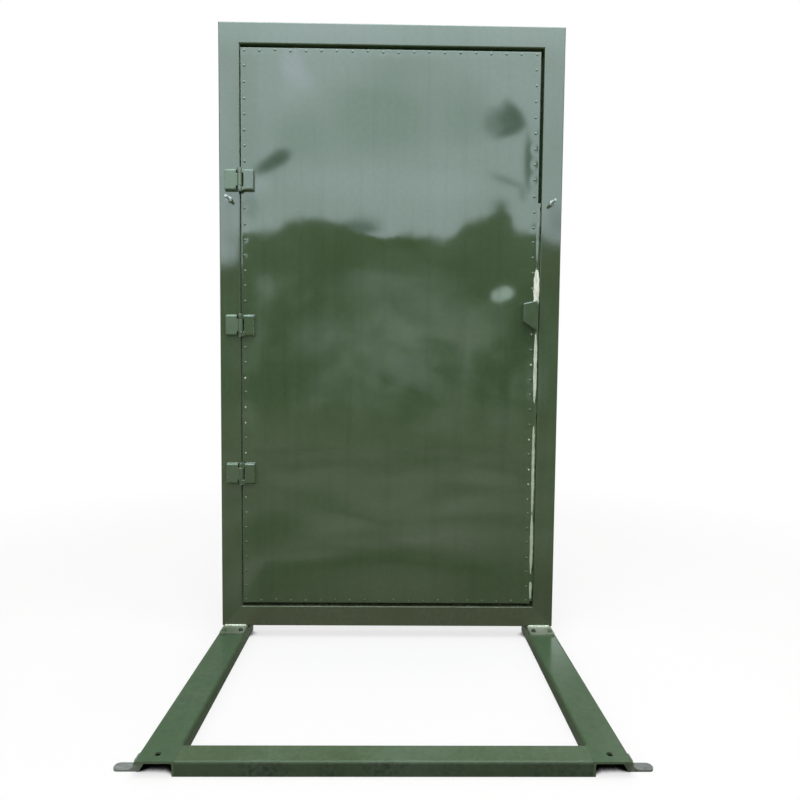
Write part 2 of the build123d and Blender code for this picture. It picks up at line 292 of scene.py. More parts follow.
# Place, side of the square and watts.
LAMPS = {
    "overhead_lamp": (Vector((0.3, -0.3, 4.5)), 3.4, 150.0),
    "front_lamp": (Vector((-2.4, -3.8, 3.0)), 2.6, 45.0),
}
for name, (place, side, watts) in LAMPS.items():
    lamp_data = bpy.data.lights.new(name, "AREA")
    lamp_data.size = side
    lamp_data.energy = watts
    lamp = bpy.data.objects.new(name, lamp_data)
    scene.collection.objects.link(lamp)
    lamp.location = place
    lamp.rotation_euler = (DOOR_MIDDLE - place).to_track_quat("-Z", "Y").to_euler()
    lamp.visible_glossy = False
    print(name, watts, "W")

# %% [markdown]
# ## What the gloss reflects
# Fresh gloss enamel on flat sheet is almost a mirror: it shows a pale upper half where it mirrors the
# bright sky and a dark lower half where it mirrors what is lower down in front of the door. Painting that
# on the leaf would be wrong from every other side, so it is done as in a photo studio, with panels out of
# the picture: an upright one in front, a bright one overhead, a dark one on the floor and a dim one behind.
# Only glossy rays see them, so they neither light the door nor shade the floor. Soft ovals, laid on a panel
# one over another, stand for the shapes that it is meant to show, and the ends of a panel fade to white, so
# that they are not mirrored as lines.

# %% Panel helpers
PANEL_DISTANCE = 5.0
PANEL_HALF_WIDTH = 9.0
PANEL_TOP = 11.0
PANEL_FADE = (3.5, 8.8)
PATCH_REACH = 0.85
PATCH_RIM = 0.5


def reflection_panel(name, y, z, rise, paint):
    """A glowing panel that only glossy rays can see. Paint is the function that gives its colour."""
    material, tree, output = new_material(name)
    glow = add_node(tree, "Emission", {"Color": paint(tree, object_place(tree)), "Strength": 1.0})
    tree.links.new(glow.outputs[0], output.inputs["Surface"])
    panel = flat_sheet(name, (-PANEL_HALF_WIDTH, y, z), (2 * PANEL_HALF_WIDTH, 0, 0), rise, material)
    panel.visible_camera = False
    panel.visible_diffuse = False
    panel.visible_transmission = False
    panel.visible_shadow = False
    print(name, "made")


def faded_ends(tree, across, colour):
    """Fades a panel into the white room towards its two ends."""
    return mix_colour(tree, remap(tree, maths(tree, "ABSOLUTE", across), *PANEL_FADE), colour, WHITE)


def drawn_curve(tree, value, span, scope, points):
    """A Float Curve through points in metres. Span and scope are the ranges of its input and its output."""
    share = remap(tree, value, *span, shape="LINEAR")
    node = add_node(tree, "FloatCurve", {"Value": share})
    (low, high), (bottom, top) = span, scope
    spots = [((x - low) / (high - low), (z - bottom) / (top - bottom)) for x, z in points]
    curve = node.mapping.curves[0]
    curve.points[0].location = spots[0]
    curve.points[1].location = spots[-1]
    for spot in spots[1:-1]:
        curve.points.new(*spot)
    node.mapping.update()
    return remap(tree, node.outputs[0], 0.0, 1.0, *scope, shape="LINEAR")


def soft_patch(tree, place, x, z, half_x, half_z, degrees=0.0, rim=PATCH_RIM):
    """A mask of a tilted oval with a soft rim."""
    local = add_node(tree, "Mapping", {
        "Vector": place, "Location": (x, 0, z), "Rotation": (0, -math.radians(degrees), 0),
        "Scale": (half_x, 1, half_z),
    }, vector_type="TEXTURE").outputs[0]
    return remap(tree, length_of(tree, local), PATCH_REACH + rim, PATCH_REACH - rim)


def laid_patches(tree, across, along, colour, layers):
    """Lays soft patches over a colour, one layer for each tint."""
    place = add_node(tree, "CombineXYZ", {0: across, 2: along}).outputs[0]
    for tint, patches in layers:
        for depth, *oval in patches:
            mask = times(tree, soft_patch(tree, place, *oval), depth)
            colour = mix_colour(tree, mask, colour, tint)
    return colour


print("panels at", PANEL_DISTANCE, "m")

# %% [markdown]
# The upright panel needs a border that is soft and uneven, as the top of something far away would be. A few
# points on a Float Curve draw it, and noise at two scales roughens it. Below the border the panel is dark
# and patchy, and above it is bright, with a few soft forms. Its brightness is several times white, since
# enamel sends back only a twenty-fifth of the light that meets it squarely.

# %% Upright panel
BORDER_SPAN = (-2.3, 2.3)
BORDER_SCOPE = (2.0, 3.2)
BORDER_SOFTNESS = 0.055
BORDER_NOISE = 0.05
BORDER_NOISE_SCALES = (4.0, 15.0)
# Metres across and metres up.
BORDER_POINTS = (
    (-2.30, 2.22), (-2.00, 2.22), (-1.95, 2.25), (-1.90, 2.56), (-1.80, 2.60), (-1.48, 2.62), (-1.36, 2.75),
    (-1.14, 2.81), (-0.62, 2.78), (-0.48, 2.68), (-0.17, 2.62), (0.25, 2.65), (0.45, 2.62), (0.66, 2.55),
    (0.78, 2.62), (0.95, 2.79), (1.20, 2.85), (1.29, 2.92), (1.345, 3.01), (1.40, 2.91), (1.47, 2.86),
    (1.55, 2.66), (1.73, 2.64), (1.88, 2.60), (1.94, 2.54), (2.30, 2.54),
)
SKY_DULL = rgb(3.3, 4.2, 4.3)
SKY_MIDDLE = rgb(4.2, 5.2, 5.5)
SKY_CLEAR = rgb(6.4, 7.2, 8.4)
SKY_GAIN = 1.27
SKY_GAIN_HEIGHTS = (4.7, 5.1)
DARK_FORM = rgb(0.40, 0.60, 0.95)
SHADE_DARK = rgb(0.12, 0.20, 0.14)
SHADE_PALE = rgb(1.35, 1.65, 1.40)
SHADE_FOOT = rgb(0.62, 0.66, 0.52)
PALE_FORM = rgb(4.9, 6.3, 5.9)
# A patch is its depth, then in metres its middle across and up, and its half length and half width. Where
# they are needed, its tilt in degrees and the softness of its rim follow.
SKY_LAYERS = (
    (SKY_DULL, (
        (0.90, -0.15, 4.04, 0.75, 0.50), (0.75, 0.86, 3.96, 0.36, 0.26), (0.55, -1.11, 3.79, 0.36, 0.30),
        (0.45, 0.15, 4.62, 0.60, 0.22), (0.50, 0.80, 4.28, 0.42, 0.30), (0.40, -1.85, 4.10, 0.20, 0.80),
    )),
    (SKY_CLEAR, (
        (0.70, -1.27, 4.66, 0.17, 0.20), (0.55, -1.15, 4.48, 0.25, 0.13, -45.0),
        (0.30, -1.28, 4.36, 0.13, 0.20), (0.30, 0.54, 3.21, 0.60, 0.22), (0.25, -0.75, 3.25, 0.60, 0.20),
        (0.40, -1.70, 3.20, 0.20, 0.14),
    )),
    (DARK_FORM, (
        (0.93, -1.51, 3.46, 0.28, 0.095, 30.0), (0.85, -1.41, 3.535, 0.13, 0.10, 30.0),
        (0.88, 1.43, 4.02, 0.21, 0.17, -40.0), (0.80, 1.48, 4.10, 0.21, 0.08, -50.0),
        (0.80, 1.42, 3.89, 0.22, 0.07, 22.0), (0.55, 1.22, 3.98, 0.15, 0.18),
        (0.92, 1.675, 3.50, 0.38, 0.06, 91.0), (0.60, 1.40, 3.28, 0.25, 0.045, -20.0),
        (0.50, 1.60, 3.12, 0.11, 0.04, -80.0), (0.45, 1.33, 2.96, 0.14, 0.12),
        (0.30, -1.78, 2.90, 0.12, 0.17), (0.85, -0.42, 2.76, 0.30, 0.12), (0.40, 2.06, 2.76, 0.12, 0.22),
        (0.35, -2.03, 2.54, 0.10, 0.07),
    )),
)
SHADE_LAYERS = (
    (SHADE_DARK, (
        # The first dark patch is mirrored in the sheet beside and below the pull guard, a painted shadow of
        # the guard.
        (0.90, 1.66, 1.30, 0.26, 0.55), (0.60, 1.66, 0.64, 0.12, 0.25), (0.60, -1.30, 0.95, 0.60, 0.42),
        (0.45, 0.95, 0.55, 0.60, 0.30), (0.75, -1.45, 2.25, 0.50, 0.22), (0.55, 0.90, 2.25, 0.30, 0.20),
        (0.25, 0.45, 2.20, 0.75, 0.12), (0.75, -1.82, 1.60, 0.15, 0.60), (0.60, 0.62, 1.17, 0.26, 0.15),
        (0.45, -0.85, 0.64, 0.20, 0.15),
    )),
    (PALE_FORM, (
        (0.90, 1.34, 1.85, 0.115, 0.095, 0.0, 0.20), (0.95, 1.43, 1.89, 0.11, 0.095, 0.0, 0.20),
        (0.16, -1.60, 1.95, 0.11, 0.16, 20.0), (0.10, 0.0, 1.97, 0.80, 0.20), (0.10, 0.10, 1.35, 0.55, 0.45),
        (0.06, 0.40, 1.72, 0.30, 0.20), (0.09, -0.85, 1.34, 0.36, 0.30), (0.18, 0.18, 0.88, 0.26, 0.20),
        (0.08, 0.45, 0.70, 0.20, 0.15), (0.16, 1.43, 0.22, 0.25, 0.25),
    )),
)


def front_colour(tree, where):
    """Bright sky with soft forms, above a ragged border and a dark and patchy shade."""
    across, _, height = axes(tree, where)
    border = drawn_curve(tree, across, BORDER_SPAN, BORDER_SCOPE, BORDER_POINTS)
    for scale in BORDER_NOISE_SCALES:
        rough = clouds(tree, where, scale, 5.0, 0.2, 0.8, -BORDER_NOISE, BORDER_NOISE, "LINEAR")
        border = maths(tree, "ADD", border, rough)
    is_sky = remap(tree, maths(tree, "SUBTRACT", height, border), -BORDER_SOFTNESS, BORDER_SOFTNESS)
    haze = clouds(tree, where, 0.75, 2.0, 0.3, 0.7, 0.0, 0.30)
    sky = laid_patches(tree, across, height, mix_colour(tree, haze, SKY_MIDDLE, SKY_CLEAR), SKY_LAYERS)
    gain = remap(tree, height, *SKY_GAIN_HEIGHTS, 1.0, SKY_GAIN)
    sky = add_node(tree, "VectorMath", {0: sky, "Scale": gain}, operation="SCALE").outputs[0]
    towards_sides = remap(tree, maths(tree, "ABSOLUTE", across), 1.80, 2.00, 1.0, 0.35)
    cloudy = times(tree, clouds(tree, where, 1.5, 3.0, 0.36, 0.66), towards_sides)
    cloudy = times(tree, cloudy, remap(tree, height, 2.45, 1.2, 0.28, 1.0))
    shade = mix_colour(tree, cloudy, SHADE_DARK, SHADE_PALE)
    shade = laid_patches(tree, across, height, shade, SHADE_LAYERS)
    shade = mix_colour(tree, remap(tree, height, 0.0, 0.7), SHADE_FOOT, shade)
    return faded_ends(tree, across, mix_colour(tree, is_sky, shade, sky))


reflection_panel("front_panel", -PANEL_DISTANCE, 0, (0, 0, PANEL_TOP), front_colour)

# %% [markdown]
# The other three panels are plainer. The ground is dark close to the door and paler further off, with the
# uneven patches that the lower half of the leaf mirrors. Behind the door it is dim, but for a pale gap on
# the right: the top of the right arm mirrors it past the edge of the jamb, as a triangle of sheen beside
# the foot.

# %% Other panels
OVERHEAD_DEPTH = 6.0
OVERHEAD_DULL = rgb(8.0, 10.0, 10.4)
OVERHEAD_CLEAR = rgb(10.0, 12.4, 13.2)
GROUND_LIFT = 1.0 * MM
GROUND_DEPTH = 10.0
GROUND_NEAR = rgb(0.14, 0.16, 0.12)
GROUND_FAR = rgb(0.82, 0.84, 0.74)
GROUND_DARK = rgb(0.08, 0.09, 0.05)
GROUND_PALE = rgb(2.5, 2.8, 2.4)
REAR_DISTANCE = 4.5
REAR_TOP = 6.0
REAR_LOW = rgb(0.30, 0.33, 0.28)
REAR_HIGH = rgb(0.62, 0.68, 0.66)
REAR_PALE = rgb(2.7, 3.0, 3.0)
# Patches on the ground count their metres along Y, and those behind the door count them upwards.
GROUND_LAYERS = (
    (GROUND_PALE, (
        (0.18, 0.27, -1.92, 0.45, 0.30), (0.22, -0.36, -1.25, 0.26, 0.42), (0.16, 0.31, -1.00, 0.42, 0.36),
        (0.25, 0.80, -2.60, 0.30, 0.40), (0.13, -0.60, -2.60, 0.50, 0.50), (0.15, 0.15, -2.50, 0.35, 0.35),
        (0.15, 0.62, -1.60, 0.25, 0.25), (0.15, -0.22, -0.72, 0.15, 0.15), (0.12, 0.17, -0.72, 0.15, 0.12),
        (0.18, -0.42, -0.45, 0.22, 0.12), (0.22, -0.62, -0.25, 0.12, 0.30), (0.10, 0.02, -0.14, 0.32, 0.15),
    )),
    (GROUND_DARK, ((0.80, 0.07, -0.45, 0.32, 0.09), (0.60, -0.70, -1.00, 0.22, 0.40))),
)
REAR_LAYERS = ((REAR_PALE, ((0.95, 1.80, 2.02, 0.35, 0.34), (0.55, 2.75, 3.30, 0.40, 0.34))),)


def overhead_colour(tree, where):
    """Bright cloud."""
    return mix_colour(tree, clouds(tree, where, 0.5, 2.0, 0.3, 0.7), OVERHEAD_DULL, OVERHEAD_CLEAR)


def ground_colour(tree, where):
    """Dark ground that grows paler and uneven away from the door."""
    across, along, _ = axes(tree, where)
    far_off = remap(tree, maths(tree, "ABSOLUTE", along), 0.10, 0.80)
    uneven = clouds(tree, where, 1.4, 3.0, 0.3, 0.7, 0.45, 1.0)
    colour = mix_colour(tree, times(tree, far_off, uneven), GROUND_NEAR, GROUND_FAR)
    colour = laid_patches(tree, across, along, colour, GROUND_LAYERS)
    colour = mix_colour(tree, remap(tree, along, 0.6, REAR_DISTANCE), colour, REAR_LOW)
    return faded_ends(tree, across, colour)


def rear_colour(tree, where):
    """A dim rise from the ground, with a pale gap on the right."""
    across, _, height = axes(tree, where)
    colour = mix_colour(tree, remap(tree, height, 0.0, REAR_TOP), REAR_LOW, REAR_HIGH)
    colour = laid_patches(tree, across, height, colour, REAR_LAYERS)
    return faded_ends(tree, across, colour)


reflection_panel("overhead_panel", -PANEL_DISTANCE, PANEL_TOP, (0, OVERHEAD_DEPTH, 0), overhead_colour)
reflection_panel("ground_panel", -PANEL_DISTANCE, GROUND_LIFT, (0, GROUND_DEPTH, 0), ground_colour)
reflection_panel("rear_panel", REAR_DISTANCE, 0, (0, 0, REAR_TOP), rear_colour)

# %% [markdown]
# ## Gloss paint as a node group
# The whole door has one coat of olive enamel, sprayed on site. Its colour drifts a little from place to
# place, it has faint vertical runs, and its skin is never flat: drying paint pulls itself into the fine
# dimples that painters call orange peel. Those three effects go into one group, which gives a colour, a
# roughness and a height. Every painted material then asks for its own tint, gloss and depth of dimples.

# %% Paint group
MOTTLE_SCALE = 2.3
RUN_FACTORS = (38.0, 38.0, 1.6)
RUN_DULLNESS = 0.018
GRAIN_SCALE = 60.0
PEEL_SCALE = 330.0

paint_inputs = {"Place": "vector", "Paint": "colour", "Faded": "colour", "Mottle": "value", "Gloss": "value",
                "Peel": "value"}
paint_outputs = {"Colour": "colour", "Roughness": "value", "Height": "value"}
paint_group, source, sink = open_group("olive_enamel", paint_inputs, paint_outputs)
tree = paint_group
place = source["Place"]
drift = clouds(tree, place, MOTTLE_SCALE, 4.0, 0.35, 0.68)
runs = clouds(tree, stretched(tree, place, RUN_FACTORS), 1.0, 2.0, 0.45, 0.75)
grain = clouds(tree, place, GRAIN_SCALE, 5.0, 0.3, 0.7)
tint = mix_colour(tree, times(tree, drift, source["Mottle"]), source["Paint"], source["Faded"])
shade = times(tree, mix_value(tree, grain, 0.95, 1.04), mix_value(tree, runs, 1.0, 0.90))
hue = add_node(tree, "HueSaturation", {"Color": tint, "Value": shade})
dull = times(tree, maths(tree, "ADD", drift, runs), RUN_DULLNESS)
peel = noise(tree, place, PEEL_SCALE, 1.0)
tree.links.new(hue.outputs[0], sink["Colour"])
tree.links.new(maths(tree, "ADD", source["Gloss"], dull), sink["Roughness"])
tree.links.new(times(tree, peel, source["Peel"]), sink["Height"])
print("group:", paint_group.name)

# %% [markdown]
# ## Worn edges as a node group
# Paint is thinnest on a corner and is knocked off there first. The Bevel node gives the normal that a
# surface would have if its edges were rounded, so where that normal leaves the true one there is an edge.
# Noise breaks the mask into chips. The rounded normal goes out too: no steel corner is razor sharp, and the
# light that it catches is what makes a small block look solid.

# %% Edge group
CHIP_SCALE = 210.0
CHIP_CLUSTER_SCALE = 17.0

edge_inputs = {"Place": "vector", "Radius": "value", "Amount": "value"}
edge_group, source, sink = open_group("worn_edges", edge_inputs, {"Mask": "value", "Normal": "vector"})
tree = edge_group
rounded = add_node(tree, "Bevel", {"Radius": source["Radius"]}, samples=6).outputs[0]
facing = add_node(tree, "VectorMath", {0: rounded, 1: true_normal(tree)}, operation="DOT_PRODUCT")
corner = remap(tree, facing.outputs["Value"], 0.995, 0.86)
chips = clouds(tree, source["Place"], CHIP_SCALE, 3.0, 0.40, 0.58)
clusters = clouds(tree, source["Place"], CHIP_CLUSTER_SCALE, 2.0, 0.38, 0.66)
chipped = times(tree, times(tree, chips, clusters), corner)
tree.links.new(times(tree, chipped, source["Amount"]), sink["Mask"])
tree.links.new(rounded, sink["Normal"])
print("group:", edge_group.name)

# %% [markdown]
# ## Dust, mud and painted shade as a node group
# Pale dust settles on what faces up, and rain throws dark mud on what stands upright near the ground. On
# the beam that mud is also painted shade, since an upright face low down gets less light than a top. Both
# masks read the upward part of the normal, and the mud also reads the height above the floor. Noise breaks
# them up, so that neither ends in a line.

# %% Dust group
SPECK_SCALE = 95.0
DRIFT_SCALE = 9.0

dust_inputs = {"Place": "vector", "Settled": "value", "Splash": "value", "Splash Height": "value"}
dust_mud_shade_group, source, sink = open_group("dust_mud_and_shade", dust_inputs, {"Dust": "value", "Mud And Shade": "value"})
tree = dust_mud_shade_group
place = source["Place"]
flat_top = remap(tree, axes(tree, true_normal(tree))[2], 0.55, 0.98)
specks = clouds(tree, place, SPECK_SCALE, 5.0, 0.30, 0.74)
cover = times(tree, specks, clouds(tree, place, DRIFT_SCALE, 3.0, 0.30, 0.72))
settled = times(tree, times(tree, flat_top, cover), source["Settled"])
nearness = remap(tree, maths(tree, "DIVIDE", axes(tree, place)[2], source["Splash Height"]), 1.0, 0.0)
splash = times(tree, times(tree, nearness, mix_value(tree, cover, 0.5, 1.0)), source["Splash"])
upright = maths(tree, "SUBTRACT", 1.0, flat_top)
tree.links.new(settled, sink["Dust"])
tree.links.new(times(tree, splash, upright), sink["Mud And Shade"])
print("group:", dust_mud_shade_group.name)

# %% [markdown]
# ## The painted finishes
# One function mixes the groups into a finish: enamel first, then bare steel where edges are chipped, then
# dust and mud. The door needs the same paint in several states. The sheet is the glossiest, the frame is a
# little browner, the small blocks have rounded and chipped edges, and those on the jamb are dull. The stand
# is dull and muddy, and the dark mud on the upright faces of its beam is also painted shade. The feet drift
# towards a paler grey, the right one more than the left, and the back of the leaf is rough. Inside the
# narrow gap on the hinge side the jamb shows pale primer grey, painted light that keeps the gap paler than
# its shade would leave it.

# %% Painted finishes
BARE_STEEL = rgb(0.46, 0.50, 0.42)
BARE_ROUGHNESS = 0.45
DUST = rgb(0.34, 0.35, 0.29)
MUD = rgb(0.098, 0.086, 0.062)
# Dark mud that is also painted shade, for the upright faces of the beam.
MUD_AND_SHADE = rgb(0.024, 0.030, 0.018)
DIRT_ROUGHNESS = 0.75
MUD_AND_SHADE_HEIGHT = 0.45
PEEL_DEPTH = 0.12 * MM
OLIVE = rgb(0.062, 0.106, 0.046)
OLIVE_LIGHT = rgb(0.080, 0.124, 0.062)
OLIVE_BROWN = rgb(0.084, 0.100, 0.056)
SILL_OLIVE = rgb(0.098, 0.136, 0.070)
STAND_OLIVE = rgb(0.061, 0.114, 0.056)
STAND_LIGHT = rgb(0.112, 0.166, 0.106)
FOOT_GREY = rgb(0.17, 0.20, 0.14)
FOOT_PALE = rgb(0.33, 0.36, 0.29)
GAP_PRIMER_LIGHT = rgb(0.50, 0.56, 0.48)
GAP_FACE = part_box("hinge_jamb")[1].x


def painted_steel(name, gloss, peel, paint=OLIVE, faded=OLIVE_BROWN, mottle=0.6, chips=0.0, round_edge=0.0,
                  settled=0.0, splash=0.0, mud=MUD, shine=0.5, pale_gap_light=False):
    """Olive enamel on steel with chipped rounded edges, dust, mud and painted shade, and painted gap light,
    where asked for.
    """
    material, tree, output = new_material(name)
    where = object_place(tree)
    enamel = use_group(tree, paint_group, {
        "Place": where, "Paint": paint, "Faded": faded, "Mottle": mottle, "Gloss": gloss, "Peel": peel,
    })
    colour, roughness = enamel["Colour"], enamel["Roughness"]
    dimples = {"Height": enamel["Height"], "Strength": 1.0, "Distance": PEEL_DEPTH}
    if round_edge:
        worn = use_group(tree, edge_group, {"Place": where, "Radius": round_edge, "Amount": chips})
        colour = mix_colour(tree, worn["Mask"], colour, BARE_STEEL)
        roughness = mix_value(tree, worn["Mask"], roughness, BARE_ROUGHNESS)
        dimples["Normal"] = worn["Normal"]
    # Painted light: the jamb's face inside the hinge-side gap turns pale primer grey, so the gap looks paler
    # than its shade.
    if pale_gap_light:
        turned_in = remap(tree, axes(tree, true_normal(tree))[0], 0.9, 0.99)
        from_face = maths(tree, "ABSOLUTE", maths(tree, "SUBTRACT", axes(tree, where)[0], GAP_FACE))
        in_gap = times(tree, turned_in, remap(tree, from_face, 1.0 * MM, 0.3 * MM))
        colour = mix_colour(tree, in_gap, colour, GAP_PRIMER_LIGHT)
    dirt_and_shade = use_group(tree, dust_mud_shade_group, {
        "Place": where, "Settled": settled, "Splash": splash, "Splash Height": MUD_AND_SHADE_HEIGHT,
    })
    colour = mix_colour(tree, dirt_and_shade["Dust"], colour, DUST)
    colour = mix_colour(tree, dirt_and_shade["Mud And Shade"], colour, mud)
    dirty = maths(tree, "MAXIMUM", dirt_and_shade["Dust"], dirt_and_shade["Mud And Shade"])
    paint_shader = add_node(tree, "BsdfPrincipled", {
        "Base Color": colour, "Roughness": mix_value(tree, dirty, roughness, DIRT_ROUGHNESS),
        "Normal": add_node(tree, "Bump", dimples).outputs[0], "IOR": 1.5, "Specular IOR Level": shine,
    })
    tree.links.new(paint_shader.outputs[0], output.inputs["Surface"])
    return material


FRAME_COAT = dict(gloss=0.05, peel=0.22, mottle=0.5, settled=0.3, splash=0.50)
BLOCK_COAT = dict(faded=OLIVE_LIGHT, peel=0.6, chips=0.9, round_edge=3.0 * MM, settled=0.25)
FOOT_COAT = dict(gloss=0.30, peel=0.9, mottle=0.9, chips=0.5, round_edge=1.0 * MM, settled=0.5)
STAND_COAT = dict(peel=0.4, settled=0.06)
COATS = {
    "sheet": dict(faded=OLIVE_LIGHT, gloss=0.035, peel=0.09, settled=0.3, splash=0.35),
    "frame": FRAME_COAT,
    "hinge_jamb": dict(FRAME_COAT, pale_gap_light=True),
    "sill": dict(paint=SILL_OLIVE, gloss=0.10, peel=0.30, mottle=0.5, settled=0.5, splash=0.40, shine=0.22),
    "blocks": dict(BLOCK_COAT, gloss=0.12),
    "jamb_blocks": dict(BLOCK_COAT, gloss=0.34),
    "arms": dict(STAND_COAT, paint=STAND_OLIVE, faded=OLIVE_LIGHT, gloss=0.16, mottle=0.4, splash=0.45,
                 shine=0.28),
    # Painted shade: the beam's dark mud on its upright faces also stands for their shade.
    "beam": dict(STAND_COAT, paint=OLIVE_LIGHT, faded=STAND_LIGHT, gloss=0.26, mottle=1.0, splash=0.95,
                 mud=MUD_AND_SHADE, shine=0.07),
    "foot_left": dict(FOOT_COAT, faded=FOOT_GREY),
    "foot_right": dict(FOOT_COAT, faded=FOOT_PALE),
    "back": dict(gloss=0.26, peel=1.0, mottle=0.8, settled=0.8, splash=0.35),
}
finishes = {name: painted_steel(f"olive_{name}", **coat) for name, coat in COATS.items()}
print("painted finishes:", len(finishes))

# %% [markdown]
# ## Bare metal, primer and black bolts
# Five small finishes are not enamel. The brace studs are zinc plated, which is pale and slightly cloudy.
# The ears have been dragged over the ground, so grey steel shows between the last of the paint. The lifted
# edge of the sheet is rubbed through to primer, and its colour also paints the light in the closing gap:
# cream above the pull and duller and greener below it, for the daylight there, and dark grey at its top,
# a painted shade. The weld of each foot shows pale grey metal. The bolts of the feet are oiled black, but
# the outer two were caught by the spray.

# %% Other finishes
ZINC_PALE = rgb(0.42, 0.46, 0.44)
ZINC_DULL = rgb(0.26, 0.29, 0.28)
WELD_PALE = rgb(0.54, 0.57, 0.46)
WELD_DULL = rgb(0.34, 0.37, 0.28)
EAR_STEEL = rgb(0.13, 0.13, 0.12)
EAR_BRIGHT = rgb(0.23, 0.23, 0.22)
EAR_SCRATCHES = (25.0, 420.0, 420.0)
CREAM_PRIMER_AND_LIGHT = rgb(0.86, 0.88, 0.75)
LOW_PRIMER_AND_GAP_LIGHT = rgb(0.45, 0.53, 0.36)
PRIMER_RUBBED = rgb(0.27, 0.34, 0.23)
PRIMER_STREAKS = (120.0, 120.0, 30.0)
# Where the primer and the gap light that it paints change on the way up, in metres, and to which colour.
PRIMER_AND_GAP_LIGHT_STEPS = (
    ((0.70, 0.76), rgb(0.62, 0.69, 0.54)),
    ((1.03, 1.10), CREAM_PRIMER_AND_LIGHT),
    ((1.252, 1.275), rgb(0.10, 0.13, 0.12)),
)
BOLT_BLACK = rgb(0.018, 0.022, 0.016)
BOLT_GREY = rgb(0.07, 0.075, 0.06)
SPRAY_RIM = 2 * MM
FOOT_MIDDLE = (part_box("foot_plate_right")[0].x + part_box("foot_plate_right")[1].x) / 2


def finish_shader(tree, output, colour, roughness, height, depth, metal):
    """A Principled shader with bump from a height."""
    bump = add_node(tree, "Bump", {"Height": height, "Strength": 1.0, "Distance": depth}).outputs[0]
    shader = add_node(tree, "BsdfPrincipled", {
        "Base Color": colour, "Roughness": roughness, "Normal": bump, "Metallic": metal,
    })
    tree.links.new(shader.outputs[0], output.inputs["Surface"])


def cloudy_metal(name, noise_form, colours, roughness, depth, metal):
    """Metal that drifts between two colours and two roughnesses."""
    material, tree, output = new_material(name)
    cloud = clouds(tree, object_place(tree), *noise_form)
    finish_shader(tree, output, mix_colour(tree, cloud, *colours), mix_value(tree, cloud, *roughness),
                  cloud, depth, metal)
    return material


zinc = cloudy_metal("bright_zinc", (260.0, 3.0, 0.3, 0.7), (ZINC_PALE, ZINC_DULL), (0.42, 0.60),
                    0.05 * MM, 0.25)
pale_foot_weld = cloudy_metal("pale_foot_weld", (130.0, 4.0, 0.35, 0.65), (WELD_DULL, WELD_PALE), (0.60, 0.40),
                           0.15 * MM, 0.15)

ear_metal, tree, output = new_material("scuffed_ear")
where = object_place(tree)
left_paint = clouds(tree, where, 45.0, 5.0, 0.56, 0.70)
scratches = clouds(tree, stretched(tree, where, EAR_SCRATCHES), 1.0, 3.0, 0.42, 0.66)
left_side = remap(tree, axes(tree, where)[0], 0.3, -0.3, 0.35, 1.0)
steel = mix_colour(tree, times(tree, scratches, left_side), EAR_STEEL, EAR_BRIGHT)
finish_shader(tree, output, mix_colour(tree, left_paint, steel, OLIVE_BROWN),
              mix_value(tree, left_paint, 0.55, 0.30), scratches, 0.08 * MM,
              mix_value(tree, left_paint, 0.35, 0.0))

# Rubbed primer whose steps also paint the gap's daylight, and at the top the gap's shade.
primer_and_gap_light, tree, output = new_material("rubbed_coat_and_gap_light")
where = object_place(tree)
rubbed = clouds(tree, stretched(tree, where, PRIMER_STREAKS), 1.0, 4.0, 0.35, 0.70)
splinter_colour_and_light = LOW_PRIMER_AND_GAP_LIGHT
for heights, colour in PRIMER_AND_GAP_LIGHT_STEPS:
    splinter_colour_and_light = mix_colour(tree, remap(tree, axes(tree, where)[2], *heights), splinter_colour_and_light, colour)
splinter_colour_and_light = mix_colour(tree, times(tree, rubbed, 0.45), splinter_colour_and_light, PRIMER_RUBBED)
finish_shader(tree, output, splinter_colour_and_light, mix_value(tree, rubbed, 0.50, 0.70), rubbed, 0.25 * MM, 0.0)

black_bolt, tree, output = new_material("oiled_bolt")
where = object_place(tree)
smear = clouds(tree, where, 180.0, 4.0, 0.4, 0.7)
from_middle = maths(tree, "ABSOLUTE", axes(tree, where)[0])
sprayed = remap(tree, from_middle, FOOT_MIDDLE - SPRAY_RIM, FOOT_MIDDLE + SPRAY_RIM)
oiled = mix_colour(tree, smear, BOLT_BLACK, BOLT_GREY)
finish_shader(tree, output, mix_colour(tree, sprayed, oiled, OLIVE_LIGHT),
              mix_value(tree, smear, 0.34, 0.55), smear, 0.06 * MM, 0.0)
finishes["ear"] = ear_metal
print("other finishes:", zinc.name, ear_metal.name, primer_and_gap_light.name, black_bolt.name, pale_foot_weld.name)

# %% [markdown]
# ## Which solid wears which finish
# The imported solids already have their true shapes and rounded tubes, so they stay and only change material.
# The names tell the groups apart, so a short list of their beginnings is enough. The first match counts,
# and the last line takes what is left.

# %% Dress the solids
LEVELS = ("upper", "middle", "lower")
WEARERS = (
    ("hinge_jamb", ("hinge_jamb",)),
    ("sill", ("sill_rail",)),
    ("jamb_blocks", ("jamb_hinge_",)),
    ("blocks", (*(f"leaf_hinge_{name}" for name in LEVELS), "pull_guard", "hinge_pin_")),
    ("foot_left", ("foot_plate_left",)),
    ("foot_right", ("foot_plate_right",)),
    ("arms", ("stand_arm_",)),
    ("beam", ("stand_beam",)),
    ("ear", ("stand_ear_",)),
    ("back", ("leaf_", "stop_")),
    ("frame", ("",)),
)
for name, solid in nodes.items():
    for slot in solid.material_slots:
        slot.material = finishes[next(finish for finish, starts in WEARERS if name.startswith(starts))]
print("dressed", len(nodes), "solids")

# %% [markdown]
# ## Helpers for meshes
# Pieces below are written straight into a mesh with bmesh. One helper turns a finished bmesh into a piece
# that rides on a body of the door, one joins a row of rings into a closed skin, and one turns a profile on
# a lathe. Each ring of the lathe is a function of the angle, so a plain ring makes a washer, a ring with
# flats makes a nut, and a ring that climbs as it turns makes a thread.

